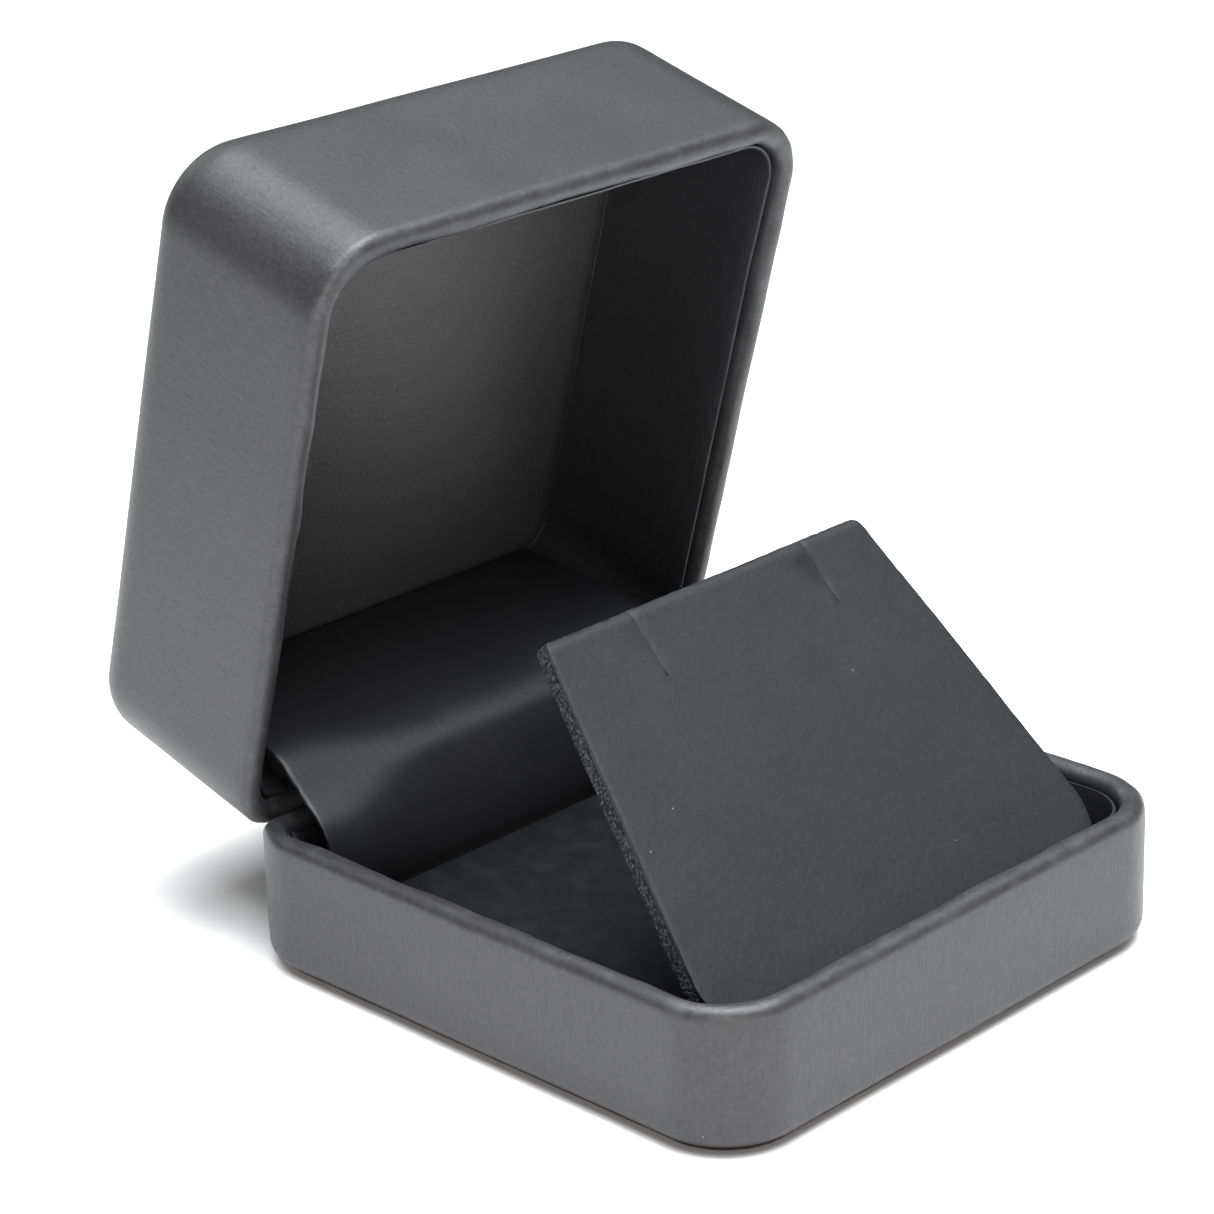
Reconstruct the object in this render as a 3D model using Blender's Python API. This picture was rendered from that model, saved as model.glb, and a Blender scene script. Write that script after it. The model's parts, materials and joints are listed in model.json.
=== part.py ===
"""Hinged jewelry box with a fold-up display flap.

A low base tray and a deeper lid are each a pressed shell wrapped in leatherette.
A sprung hinge behind a cover strip joins them, and a foam-backed flap folds up
out of the tray. The box stands open, as it is used for display.

Metres, +Z up. The origin is the centre of the underside. The front faces -Y, and
the hinge runs along X at the back.
"""

import math

import bmesh
import bpy
from mathutils import Matrix, Vector

MM = 0.001

# Overall sizes
WIDTH = 80.0 * MM
DEPTH = 81.5 * MM
BASE_HEIGHT = 18.1 * MM
LID_HEIGHT = 29.6 * MM
BASE_CORNER = 10.2 * MM
LID_CORNER = 9.7 * MM
BASE_EDGE = 2.2 * MM
LID_EDGE = 5.4 * MM
RIM_GAP = 0.3 * MM

# Sheet thicknesses, and the gap left between pieces that touch
SKIN = 0.8 * MM
SHELL = 0.9 * MM
LINER = 0.8 * MM
PANEL = 1.2 * MM
GAP = 0.3 * MM
FOOT_PAD = 0.5 * MM
FOOT_GAP = 0.25 * MM

# The wall's layers, as insets from the outer face
RIM_WIDTH = 2.0 * SKIN + SHELL + 2.0 * GAP
SHELL_OUT = SKIN + GAP
SHELL_IN = SHELL_OUT + SHELL
LINER_OUT = RIM_WIDTH + GAP
LINER_IN = LINER_OUT + LINER
PANEL_INSET = LINER_IN + GAP

# How far the wrap laps over the rim and under the base, and where the liner stops
RIM_LAP = 4.5 * MM
FOOT_TURN_IN = 9.0 * MM
FOOT_PAD_INSET = 2.0 * MM
LINER_BELOW_RIM = 1.5 * MM

# Hinge axis, and how far the lid stands open
HINGE_Y = 37.2 * MM
HINGE_Z = 17.4 * MM
LID_OPEN = math.radians(74.0)

# The rims sink towards the back so that the open lid has room beside the base
DIP_START = 36.6 * MM
DIP_SLOPE = 0.76
DIP_BLEND = 0.6 * MM
DIP_REACH = 6.5 * MM

# Where the base's floor panel stops, in front of the hinge axis
FLOOR_FROM_AXIS = 3.2 * MM

# Hinge hardware
PIN_RADIUS = 0.5 * MM
BORE_RADIUS = 0.58 * MM
KNUCKLE_RADIUS = 1.05 * MM
LEAF_HALF_LENGTH = 27.0 * MM
LEAF_REACH = 9.0 * MM
LEAF_OUTER = 0.17 * MM
LEAF_INNER = -0.28 * MM
KNUCKLE_SLIT = 235.0
KNUCKLES = 5
RIVET_X = 18.0 * MM
RIVET_DROP = 6.9 * MM
RIVET_HEAD = 1.3 * MM
RIVET_HEAD_RISE = 0.45 * MM
RIVET_HEAD_RIM = 0.1 * MM
RIVET_STAND_OFF = 0.1 * MM
RIVET_SHANK = 0.6 * MM
RIVET_HOLE = 0.75 * MM
SPRING_HALF_WIDTH = 6.0 * MM
SPRING_RADIUS = 1.35 * MM
SPRING_SHEET = 0.3 * MM
SPRING_REACH = 7.5 * MM
SPRING_FOOT = 1.0 * MM
SPRING_LEAVES = 3.0 * MM

# Cover strip over the hinge
STRIP_HALF_WIDTH = 31.8 * MM
STRIP_SHEET = 0.6 * MM
STRIP_FROM_AXIS = 1.9 * MM
STRIP_BASE_PULL = (-9.2 * MM, 0.6 * MM)
STRIP_LID_PULL = (-9.0 * MM, 3.4 * MM)

# Display flap
FLAP_Y = -34.2 * MM
FLAP_Z = 10.9 * MM
FLAP_OPEN = math.radians(47.0)
FLAP_LENGTH = 49.2 * MM
FLAP_TOP = 1.2 * MM
FLAP_FACE = 0.5 * MM
FLAP_BOTTOM = -1.2 * MM
FLAP_LAYER_GAP = 0.2 * MM
FLAP_FOLD_HALF = 31.6 * MM
FLAP_WIDE_HALF = 33.8 * MM
FLAP_WIDE_AT = 7.0 * MM
FLAP_TIP_HALF = 26.6 * MM
SLIT_X = (-13.2 * MM, 16.4 * MM)
SLIT_LENGTH = 9.0 * MM
SLIT_WIDTH = 0.5 * MM
ROOT_HALF_WIDTH = 31.0 * MM
ROOT_TOP = 8.9 * MM
ROOT_THICKNESS = 2.4 * MM

CORNER_STEPS = 7
ARC_STEPS = 5
KNUCKLE_STEPS = 14
PIN_SIDES = 24
SPRING_BOW_STEPS = 6
STRIP_STEPS = 20

# Heights of the base's layers, and of the closed lid's layers
BASE_FOOT = FOOT_PAD + FOOT_GAP
BASE_RISE = BASE_HEIGHT - BASE_FOOT
BASE_FLOOR = BASE_FOOT + SHELL_IN
LID_TOP = BASE_HEIGHT + RIM_GAP + LID_HEIGHT


def clear_scene():
    """Remove what is in the scene."""
    for old in list(bpy.data.objects):
        bpy.data.objects.remove(old, do_unlink=True)


def make_material(name, colour, roughness, metallic=0.0):
    """A Principled material of one colour."""
    material = bpy.data.materials.new(name)
    material.use_nodes = True
    shader = material.node_tree.nodes["Principled BSDF"]
    shader.inputs["Base Color"].default_value = (*colour, 1.0)
    shader.inputs["Roughness"].default_value = roughness
    shader.inputs["Metallic"].default_value = metallic
    material.diffuse_color = (*colour, 1.0)
    return material


def new_object(name, mesh, parent=None, colour=None):
    """Link an object, put it under its pivot and give it a material."""
    thing = bpy.data.objects.new(name, mesh)
    bpy.context.scene.collection.objects.link(thing)
    thing.parent = parent
    if colour:
        mesh.materials.append(make_material(name, *colour))
    return thing


def finish_mesh(name, work, smooth_angle=40.0):
    """Turn a bmesh into a mesh with faces out and its round stretches smooth."""
    bmesh.ops.remove_doubles(work, verts=work.verts, dist=1e-7)
    bmesh.ops.recalc_face_normals(work, faces=work.faces)
    mesh = bpy.data.meshes.new(name)
    work.to_mesh(mesh)
    work.free()
    mesh.shade_smooth()
    mesh.set_sharp_from_angle(angle=math.radians(smooth_angle))
    return mesh


def arc(centre, radius, first, last, steps=ARC_STEPS):
    """Points along an arc, with angles in degrees."""
    points = []
    for step in range(steps + 1):
        angle = math.radians(first + (last - first) * step / steps)
        points.append((centre[0] + radius * math.cos(angle), centre[1] + radius * math.sin(angle)))
    return points


def smoothstep(value):
    """Ease from 0 to 1."""
    value = min(1.0, max(0.0, value))
    return value * value * (3.0 - 2.0 * value)


def rim_dip(y):
    """How far the rim sinks at a place y across the box."""
    past = y - DIP_START
    return DIP_SLOPE * (past + math.hypot(past, DIP_BLEND)) / 2.0


def outline_spots(corner):
    """Corner centres and directions, once round the box from the back's middle."""
    spots = []
    half_x = WIDTH / 2.0 - corner
    half_y = DEPTH / 2.0 - corner
    for quarter, (side_x, side_y) in enumerate(((-1, 1), (-1, -1), (1, -1), (1, 1))):
        for step in range(CORNER_STEPS + 1):
            angle = math.radians(90.0 + 90.0 * quarter + 90.0 * step / CORNER_STEPS)
            centre = Vector((side_x * half_x, side_y * half_y))
            spots.append((centre, Vector((math.cos(angle), math.sin(angle)))))
    return spots


def place_ring(work, spots, corner, section, height_of, rise):
    """Vertices of a section carried round the outline, one list for each spot."""
    rings = []
    for centre, direction in spots:
        middle = centre.y + direction.y * (corner - RIM_WIDTH / 2.0)
        dip = rim_dip(middle)
        ring = []
        for inset, height in section:
            spot = centre + direction * (corner - inset)
            share = smoothstep((height - (rise - DIP_REACH)) / (DIP_REACH - RIM_WIDTH / 2.0))
            ring.append(work.verts.new((spot.x, spot.y, height_of(height - dip * share))))
        rings.append(ring)
    return rings


def join_rings(work, rings, closed_path, closed_section):
    """Faces between neighbouring rings."""
    ring_count = len(rings)
    section_count = len(rings[0])
    for index in range(ring_count if closed_path else ring_count - 1):
        here = rings[index]
        there = rings[(index + 1) % ring_count]
        for spot in range(section_count if closed_section else section_count - 1):
            after = (spot + 1) % section_count
            work.faces.new((here[spot], here[after], there[after], there[spot]))


def sweep_box(name, corner, section, height_of, rise, capped):
    """A section swept right round the box; a capped one closes over its two ends."""
    work = bmesh.new()
    rings = place_ring(work, outline_spots(corner), corner, section, height_of, rise)
    join_rings(work, rings, True, not capped)
    if capped:
        work.faces.new([ring[0] for ring in rings])
        work.faces.new([ring[-1] for ring in rings])
    return finish_mesh(name, work)


def wrap_section(rise, edge, turn_in):
    """Leatherette from the closed face, up the wall and over the rim."""
    nose = RIM_WIDTH / 2.0
    section = []
    if turn_in:
        section.append((turn_in, 0.0))
    section += arc((edge, edge), edge, -90.0, -180.0)
    section += arc((nose, rise - nose), nose, 180.0, 0.0, 2 * ARC_STEPS)
    section.append((RIM_WIDTH, rise - RIM_LAP))
    section.append((RIM_WIDTH - SKIN, rise - RIM_LAP))
    section += arc((nose, rise - nose), nose - SKIN, 0.0, 180.0, 2 * ARC_STEPS)
    section += arc((edge, edge), edge - SKIN, -180.0, -90.0)
    if turn_in:
        section.append((turn_in, SKIN))
    return section


def shell_section(rise, edge):
    """Pressed shell inside the wrap."""
    top = rise - RIM_WIDTH / 2.0 + SHELL / 4.0
    outer_edge = max(edge - SHELL_OUT, 0.3 * MM)
    inner_edge = max(edge - SHELL_IN, 0.3 * MM)
    section = arc((SHELL_OUT + outer_edge, SHELL_OUT + outer_edge), outer_edge, -90.0, -180.0)
    section += [(SHELL_OUT, top), (SHELL_IN, top)]
    section += arc((SHELL_IN + inner_edge, SHELL_IN + inner_edge), inner_edge, -180.0, -90.0)
    return section


def prism(name, outline, along, low, high):
    """An outline of two coordinates carried along an axis: x or z."""
    work = bmesh.new()
    orders = {"x": lambda a, b, c: (c, a, b), "z": lambda a, b, c: (a, b, c)}
    order = orders[along]
    first = [work.verts.new(order(a, b, low)) for a, b in outline]
    last = [work.verts.new(order(a, b, high)) for a, b in outline]
    join_rings(work, [first, last], False, True)
    work.faces.new(first)
    work.faces.new(last)
    return finish_mesh(name, work)


def rounded_plate(name, corner, inset, low, high, front=None, back=None):
    """A flat plate of the box's outline, cut straight at the front or the back."""
    outline = []
    for centre, direction in outline_spots(corner):
        spot = centre + direction * (corner - inset)
        y = spot.y if front is None else max(spot.y, front)
        y = y if back is None else min(y, back)
        outline.append((spot.x, y))
    return prism(name, outline, "z", low, high)


def liner_mesh(name, corner, low, high, height_of, rise):
    """Wall liner round three sides, with its ends beside the cover strip."""
    end_x = STRIP_HALF_WIDTH + 2.0 * GAP
    path = []
    for centre, direction in outline_spots(corner):
        x = centre.x + direction.x * (corner - LINER_IN)
        if centre.y < 0.0 or abs(x) > end_x:
            path.append((centre, direction))
    section = [(LINER_OUT, low), (LINER_OUT, high), (LINER_IN, high), (LINER_IN, low)]
    work = bmesh.new()
    rings = place_ring(work, path, corner, section, height_of, rise)
    join_rings(work, rings, False, True)
    work.faces.new(rings[0])
    work.faces.new(rings[-1])
    return finish_mesh(name, work)


def add_cut(target, name, mesh, parent=None):
    """Cut a shape out of a target."""
    cutter = new_object(name, mesh, parent)
    cutter.hide_render = True
    cutter.display_type = "WIRE"
    cut = target.modifiers.new(name, "BOOLEAN")
    cut.operation = "DIFFERENCE"
    cut.solver = "EXACT"
    cut.object = cutter
    return cutter


def boxes_mesh(name, boxes):
    """Several separate boxes in one mesh, each as (low corner, high corner)."""
    work = bmesh.new()
    for low, high in boxes:
        made = bmesh.ops.create_cube(work, size=1.0)
        size = [high[axis] - low[axis] for axis in range(3)]
        middle = [(high[axis] + low[axis]) / 2.0 for axis in range(3)]
        bmesh.ops.scale(work, vec=size, verts=made["verts"])
        bmesh.ops.translate(work, vec=middle, verts=made["verts"])
    return finish_mesh(name, work)


def rods_mesh(name, rods, sides=16):
    """Separate rods along Y, each as (x, z, y from, y to, radius)."""
    work = bmesh.new()
    for x, z, y_from, y_to, radius in rods:
        place = Matrix.Translation((x, (y_from + y_to) / 2.0, z)) @ Matrix.Rotation(math.pi / 2.0, 4, "X")
        bmesh.ops.create_cone(work, cap_ends=True, segments=sides, radius1=radius, radius2=radius,
                              depth=abs(y_to - y_from), matrix=place)
    return finish_mesh(name, work)


def make_pivot(name, y, z, turn):
    """An empty on a joint's axis, turned to the pose in which the box stands."""
    pivot = bpy.data.objects.new(name, None)
    bpy.context.scene.collection.objects.link(pivot)
    pivot.location = (0.0, y, z)
    pivot.rotation_euler = (turn, 0.0, 0.0)
    return pivot


def base_height(height):
    """Height above the base's closed face, as z."""
    return BASE_FOOT + height


def lid_height(height):
    """Height below the closed lid's top, as z from the hinge axis."""
    return LID_TOP - height - HINGE_Z


def move_to_hinge(mesh):
    """Give a lid mesh that is drawn round the box's middle the hinge as its y origin."""
    mesh.transform(Matrix.Translation((0.0, -HINGE_Y, 0.0)))
    return mesh


LEATHER = ((0.045, 0.046, 0.050), 0.5)
INNER_LEATHER = ((0.030, 0.031, 0.035), 0.5)
BOARD = ((0.16, 0.16, 0.17), 0.8)
FELT = ((0.020, 0.018, 0.018), 0.95)
FOAM = ((0.022, 0.022, 0.024), 0.95)
STEEL = ((0.62, 0.62, 0.63), 0.35, 1.0)


def make_base():
    """Foot pad, wrapped tray, wall liner and floor panel."""
    pad = rounded_plate("bottom_pad", BASE_CORNER, FOOT_PAD_INSET, 0.0, FOOT_PAD)
    new_object("bottom_pad", pad, colour=FELT)
    wrap = sweep_box("base_wrap", BASE_CORNER, wrap_section(BASE_RISE, BASE_EDGE, FOOT_TURN_IN),
                     base_height, BASE_RISE, False)
    new_object("base_wrap", wrap, colour=LEATHER)
    tray = sweep_box("base_shell", BASE_CORNER, shell_section(BASE_RISE, BASE_EDGE),
                     base_height, BASE_RISE, True)
    tray = new_object("base_shell", tray, colour=BOARD)
    liner = liner_mesh("base_wall_liner", BASE_CORNER, SHELL_IN + GAP, BASE_RISE - LINER_BELOW_RIM,
                       base_height, BASE_RISE)
    new_object("base_wall_liner", liner, colour=INNER_LEATHER)
    floor_low = BASE_FLOOR + GAP
    front = FLAP_Y + ROOT_THICKNESS / 2.0 + 2.0 * GAP
    floor = rounded_plate("base_floor_panel", BASE_CORNER, PANEL_INSET, floor_low, floor_low + PANEL,
                          front=front, back=HINGE_Y - FLOOR_FROM_AXIS)
    new_object("base_floor_panel", floor, colour=INNER_LEATHER)
    return tray


def make_lid(pivot):
    """Wrapped lid shell, wall liner and ceiling panel, drawn as the lid lies closed."""
    wrap = sweep_box("lid_wrap", LID_CORNER, wrap_section(LID_HEIGHT, LID_EDGE, None),
                     lid_height, LID_HEIGHT, True)
    new_object("lid_wrap", move_to_hinge(wrap), pivot, LEATHER)
    shell = sweep_box("lid_shell", LID_CORNER, shell_section(LID_HEIGHT, LID_EDGE),
                      lid_height, LID_HEIGHT, True)
    shell = new_object("lid_shell", move_to_hinge(shell), pivot, BOARD)
    panel_height = SHELL_IN + GAP
    panel = rounded_plate("lid_ceiling_panel", LID_CORNER, PANEL_INSET, lid_height(panel_height + PANEL),
                          lid_height(panel_height))
    new_object("lid_ceiling_panel", move_to_hinge(panel), pivot, INNER_LEATHER)
    liner = liner_mesh("lid_wall_liner", LID_CORNER, panel_height + 3.0 * GAP, LID_HEIGHT - LINER_BELOW_RIM,
                       lid_height, LID_HEIGHT)
    new_object("lid_wall_liner", move_to_hinge(liner), pivot, INNER_LEATHER)
    return shell


def leaf_outline(side):
    """Hinge leaf and its rolled knuckle in (y, z) from the axis; side is -1 down, 1 up."""
    meets_outer = math.degrees(math.acos(LEAF_OUTER / KNUCKLE_RADIUS))
    meets_inner = math.degrees(math.acos(LEAF_INNER / BORE_RADIUS))
    outline = [(LEAF_OUTER, -LEAF_REACH)]
    outline += arc((0.0, 0.0), KNUCKLE_RADIUS, -meets_outer, KNUCKLE_SLIT, KNUCKLE_STEPS)
    outline += arc((0.0, 0.0), BORE_RADIUS, KNUCKLE_SLIT, -meets_inner, KNUCKLE_STEPS)
    outline.append((LEAF_INNER, -LEAF_REACH))
    return [(y, -side * z) for y, z in outline]


def knuckle_spans(first):
    """Spans in x of every second knuckle, counted from the first given."""
    pitch = 2.0 * LEAF_HALF_LENGTH / KNUCKLES
    spans = []
    for index in range(first, KNUCKLES, 2):
        low = -LEAF_HALF_LENGTH + index * pitch
        spans.append((low, low + pitch))
    return spans


def make_leaf(name, side, others_first, pivot, shell):
    """One steel leaf, notched where the other leaf's knuckles are, and riveted to its shell."""
    mesh = prism(name, leaf_outline(side), "x", -LEAF_HALF_LENGTH, LEAF_HALF_LENGTH)
    leaf = new_object(name, mesh, pivot, STEEL)
    notches = []
    for low, high in knuckle_spans(others_first):
        reach = KNUCKLE_RADIUS + GAP
        corner_a = (low - GAP / 2.0, -3.0 * reach, -reach)
        corner_b = (high + GAP / 2.0, 3.0 * reach, reach)
        notches.append((corner_a, corner_b))
    add_cut(leaf, name + "_notches", boxes_mesh(name + "_notches", notches), pivot)
    rivet_z = side * RIVET_DROP
    wall_y = DEPTH / 2.0 - SHELL_OUT - HINGE_Y
    holes = [(x, rivet_z, -2.0 * MM, wall_y + SKIN / 2.0, RIVET_HOLE) for x in (-RIVET_X, RIVET_X)]
    cutter = add_cut(leaf, name + "_holes", rods_mesh(name + "_holes", holes), pivot)
    cut = shell.modifiers.new("rivet_holes", "BOOLEAN")
    cut.operation = "DIFFERENCE"
    cut.solver = "EXACT"
    cut.object = cutter
    return leaf


def make_rivet(name, x, side, pivot):
    """A rivet: its head inside the leaf, and a shank that ends in the shell's wall."""
    work = bmesh.new()
    head_y = LEAF_INNER - RIVET_STAND_OFF
    tail_y = DEPTH / 2.0 - SHELL_OUT - HINGE_Y
    crown_y = head_y - RIVET_HEAD_RISE
    profile = [(0.0, crown_y), (RIVET_HEAD * 0.6, crown_y + RIVET_HEAD_RIM / 2.0)]
    profile += [(RIVET_HEAD, head_y - RIVET_HEAD_RIM), (RIVET_HEAD, head_y)]
    profile += [(RIVET_SHANK, head_y), (RIVET_SHANK, tail_y), (0.0, tail_y)]
    points = [work.verts.new((x + radius, y, side * RIVET_DROP)) for radius, y in profile]
    edges = [work.edges.new((points[i], points[i + 1])) for i in range(len(points) - 1)]
    bmesh.ops.spin(work, geom=points + edges, cent=(x, 0.0, side * RIVET_DROP), axis=(0.0, 1.0, 0.0),
                   angle=2.0 * math.pi, steps=KNUCKLE_STEPS, use_merge=True)
    new_object(name, finish_mesh(name, work), pivot, STEEL)


def make_pin():
    """Hinge pin through every knuckle."""
    last_angle = 360.0 - 360.0 / PIN_SIDES
    outline = arc((HINGE_Y, HINGE_Z), PIN_RADIUS, 0.0, last_angle, PIN_SIDES - 1)
    pin = prism("hinge_pin", outline, "x", -LEAF_HALF_LENGTH + GAP, LEAF_HALF_LENGTH - GAP)
    new_object("hinge_pin", pin, colour=STEEL)


def offset_sheet(name, path, sheet, low, high):
    """A sheet of even thickness that follows a path in (y, z)."""
    outer = []
    inner = []
    last = len(path) - 1
    for index, point in enumerate(path):
        before = Vector(path[max(index - 1, 0)])
        after = Vector(path[min(index + 1, last)])
        run = (after - before).normalized()
        side = Vector((-run.y, run.x)) * sheet / 2.0
        outer.append(tuple(Vector(point) + side))
        inner.append(tuple(Vector(point) - side))
    return prism(name, outer + inner[::-1], "x", low, high)


def from_lid(y, z):
    """A place in the closed lid, from the hinge axis, as world (y, z) with the lid open."""
    turn = -LID_OPEN
    turned_y = y * math.cos(turn) - z * math.sin(turn)
    turned_z = y * math.sin(turn) + z * math.cos(turn)
    return (HINGE_Y + turned_y, HINGE_Z + turned_z)


def make_spring():
    """Flat snap spring that bows round the knuckles from one leaf to the other."""
    radius = SPRING_RADIUS + SPRING_SHEET / 2.0
    foot_y = LEAF_INNER - GAP
    low_z = HINGE_Z - SPRING_REACH
    path = [(HINGE_Y + foot_y, low_z), (HINGE_Y + foot_y, low_z + SPRING_FOOT)]
    path += [(HINGE_Y - radius, low_z + SPRING_LEAVES)]
    path += arc((HINGE_Y, HINGE_Z), radius, 180.0, 180.0 - math.degrees(LID_OPEN), SPRING_BOW_STEPS)
    path += [from_lid(-radius, SPRING_REACH - SPRING_LEAVES)]
    path += [from_lid(foot_y, SPRING_REACH - SPRING_FOOT), from_lid(foot_y, SPRING_REACH)]
    spring = offset_sheet("hinge_snap_spring", path, SPRING_SHEET, -SPRING_HALF_WIDTH, SPRING_HALF_WIDTH)
    new_object("hinge_snap_spring", spring, colour=STEEL)


def curve_point(ends, pulls, share):
    """A point on a cubic curve between two ends, drawn towards two pulls."""
    left = 1.0 - share
    weights = (left ** 3, 3.0 * left * left * share, 3.0 * left * share * share, share ** 3)
    points = (ends[0], pulls[0], pulls[1], ends[1])
    return tuple(sum(weight * point[axis] for weight, point in zip(weights, points)) for axis in range(2))


def make_cover_strip():
    """Leatherette strip from the base's floor, over the hinge, to the lid's ceiling."""
    base_end = (HINGE_Y - STRIP_FROM_AXIS, BASE_FLOOR + 2.0 * GAP)
    lid_end = from_lid(-STRIP_FROM_AXIS, LID_TOP - HINGE_Z - SHELL_IN - PANEL - 3.0 * GAP)
    base_pull = (HINGE_Y + STRIP_BASE_PULL[0], HINGE_Z + STRIP_BASE_PULL[1])
    pulls = (base_pull, from_lid(*STRIP_LID_PULL))
    shares = [step / STRIP_STEPS for step in range(STRIP_STEPS + 1)]
    path = [curve_point((base_end, lid_end), pulls, share) for share in shares]
    strip = offset_sheet("hinge_cover_strip", path, STRIP_SHEET, -STRIP_HALF_WIDTH, STRIP_HALF_WIDTH)
    new_object("hinge_cover_strip", strip, colour=INNER_LEATHER)


def flap_half_width(along):
    """Half the flap's width at a distance from its fold."""
    if along < FLAP_WIDE_AT:
        share = math.sin(math.pi / 2.0 * max(along, 0.0) / FLAP_WIDE_AT)
        return FLAP_FOLD_HALF + (FLAP_WIDE_HALF - FLAP_FOLD_HALF) * share
    share = (along - FLAP_WIDE_AT) / (FLAP_LENGTH - FLAP_WIDE_AT)
    return FLAP_WIDE_HALF + (FLAP_TIP_HALF - FLAP_WIDE_HALF) * share


def flap_layer(name, outline, pivot, colour):
    """One layer of the flap: an outline in (y, z), as wide as the flap is there."""
    work = bmesh.new()
    sides = []
    for sign in (-1.0, 1.0):
        sides.append([work.verts.new((sign * flap_half_width(y), y, z)) for y, z in outline])
    join_rings(work, sides, False, True)
    work.faces.new(sides[0])
    work.faces.new(sides[1])
    layer = new_object(name, finish_mesh(name, work), pivot, colour)
    slits = []
    for x in SLIT_X:
        low = (x - SLIT_WIDTH / 2.0, FLAP_LENGTH - SLIT_LENGTH, 2.0 * FLAP_BOTTOM)
        high = (x + SLIT_WIDTH / 2.0, FLAP_LENGTH + 1.0 * MM, 2.0 * FLAP_TOP)
        slits.append((low, high))
    add_cut(layer, name + "_slits", boxes_mesh(name + "_slits", slits), pivot)
    return layer


def make_flap(pivot):
    """Display flap: leatherette face and foam, and the tab that holds its fold."""
    face_low = FLAP_TOP - FLAP_FACE
    foam_top = face_low - FLAP_LAYER_GAP
    stations = [FLAP_LENGTH, FLAP_WIDE_AT, FLAP_WIDE_AT / 2.0]
    nose = (0.0, (foam_top + FLAP_BOTTOM) / 2.0)
    nose_radius = (foam_top - FLAP_BOTTOM) / 2.0
    foam = [(y, foam_top) for y in stations]
    foam += arc(nose, nose_radius, 90.0, 270.0, 8)
    foam += [(y, FLAP_BOTTOM) for y in reversed(stations)]
    flap_layer("flap_foam", foam, pivot, FOAM)
    face = [(y, FLAP_TOP) for y in stations]
    face += arc(nose, FLAP_TOP - nose[1], 90.0, 195.0, 6)
    face += arc(nose, face_low - nose[1], 195.0, 90.0, 6)
    face += [(y, face_low) for y in reversed(stations)]
    flap_layer("flap_face", face, pivot, LEATHER)
    low = BASE_FLOOR + GAP
    root = [(FLAP_Y - ROOT_THICKNESS / 2.0, low), (FLAP_Y + ROOT_THICKNESS / 2.0, low),
            (FLAP_Y + ROOT_THICKNESS / 2.0, ROOT_TOP), (FLAP_Y - ROOT_THICKNESS / 2.0, ROOT_TOP)]
    tab = prism("flap_root_tab", root, "x", -ROOT_HALF_WIDTH, ROOT_HALF_WIDTH)
    new_object("flap_root_tab", tab, colour=FOAM)


def main():
    """Build the whole box."""
    clear_scene()
    base_pivot = make_pivot("base_hinge_axis", HINGE_Y, HINGE_Z, 0.0)
    lid_pivot = make_pivot("lid_hinge_axis", HINGE_Y, HINGE_Z, -LID_OPEN)
    flap_pivot = make_pivot("flap_fold_axis", FLAP_Y, FLAP_Z, FLAP_OPEN)
    tray = make_base()
    lid_shell = make_lid(lid_pivot)
    make_leaf("hinge_base_leaf", -1, 1, base_pivot, tray)
    make_leaf("hinge_lid_leaf", 1, 0, lid_pivot, lid_shell)
    for place, x in (("left", -RIVET_X), ("right", RIVET_X)):
        make_rivet("hinge_base_rivet_" + place, x, -1, base_pivot)
        make_rivet("hinge_lid_rivet_" + place, x, 1, lid_pivot)
    make_pin()
    make_spring()
    make_cover_strip()
    make_flap(flap_pivot)


main()
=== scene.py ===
"""Jewelry box: leatherette covers, linings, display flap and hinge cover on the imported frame.

The box stands open. Shapes are worked out in millimetres, most of them as the box lies
closed, and are turned open and scaled to metres when the mesh is made.
"""
import json
import math

import bpy
import numpy as np
from mathutils import Matrix, Vector, noise


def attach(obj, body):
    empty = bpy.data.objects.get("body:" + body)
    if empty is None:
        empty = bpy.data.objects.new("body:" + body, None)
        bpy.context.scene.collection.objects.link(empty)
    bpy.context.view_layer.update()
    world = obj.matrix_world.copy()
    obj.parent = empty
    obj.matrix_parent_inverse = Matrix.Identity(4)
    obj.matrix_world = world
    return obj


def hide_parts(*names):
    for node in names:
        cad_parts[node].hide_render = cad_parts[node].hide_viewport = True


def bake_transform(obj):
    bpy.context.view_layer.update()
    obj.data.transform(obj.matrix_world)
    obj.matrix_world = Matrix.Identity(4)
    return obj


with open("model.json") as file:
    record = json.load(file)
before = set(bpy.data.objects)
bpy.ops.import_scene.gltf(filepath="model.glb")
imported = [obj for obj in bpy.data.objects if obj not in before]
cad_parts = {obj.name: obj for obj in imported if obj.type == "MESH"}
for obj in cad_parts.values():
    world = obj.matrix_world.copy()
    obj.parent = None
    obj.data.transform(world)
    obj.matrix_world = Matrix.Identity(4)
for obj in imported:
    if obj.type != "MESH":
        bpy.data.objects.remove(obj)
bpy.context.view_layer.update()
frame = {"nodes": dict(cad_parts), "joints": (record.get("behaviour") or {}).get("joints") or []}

MM = 0.001


def joint(name):
    """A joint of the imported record."""
    return next(j for j in frame["joints"] if j["name"] == name)


def turned(points, axis, degrees):
    """Points turned about an X axis through (y, z)."""
    angle = math.radians(degrees)
    y = points[..., 1] - axis[0]
    z = points[..., 2] - axis[1]
    out = np.array(points, float)
    out[..., 1] = axis[0] + y * math.cos(angle) - z * math.sin(angle)
    out[..., 2] = axis[1] + y * math.sin(angle) + z * math.cos(angle)
    return out


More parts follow.
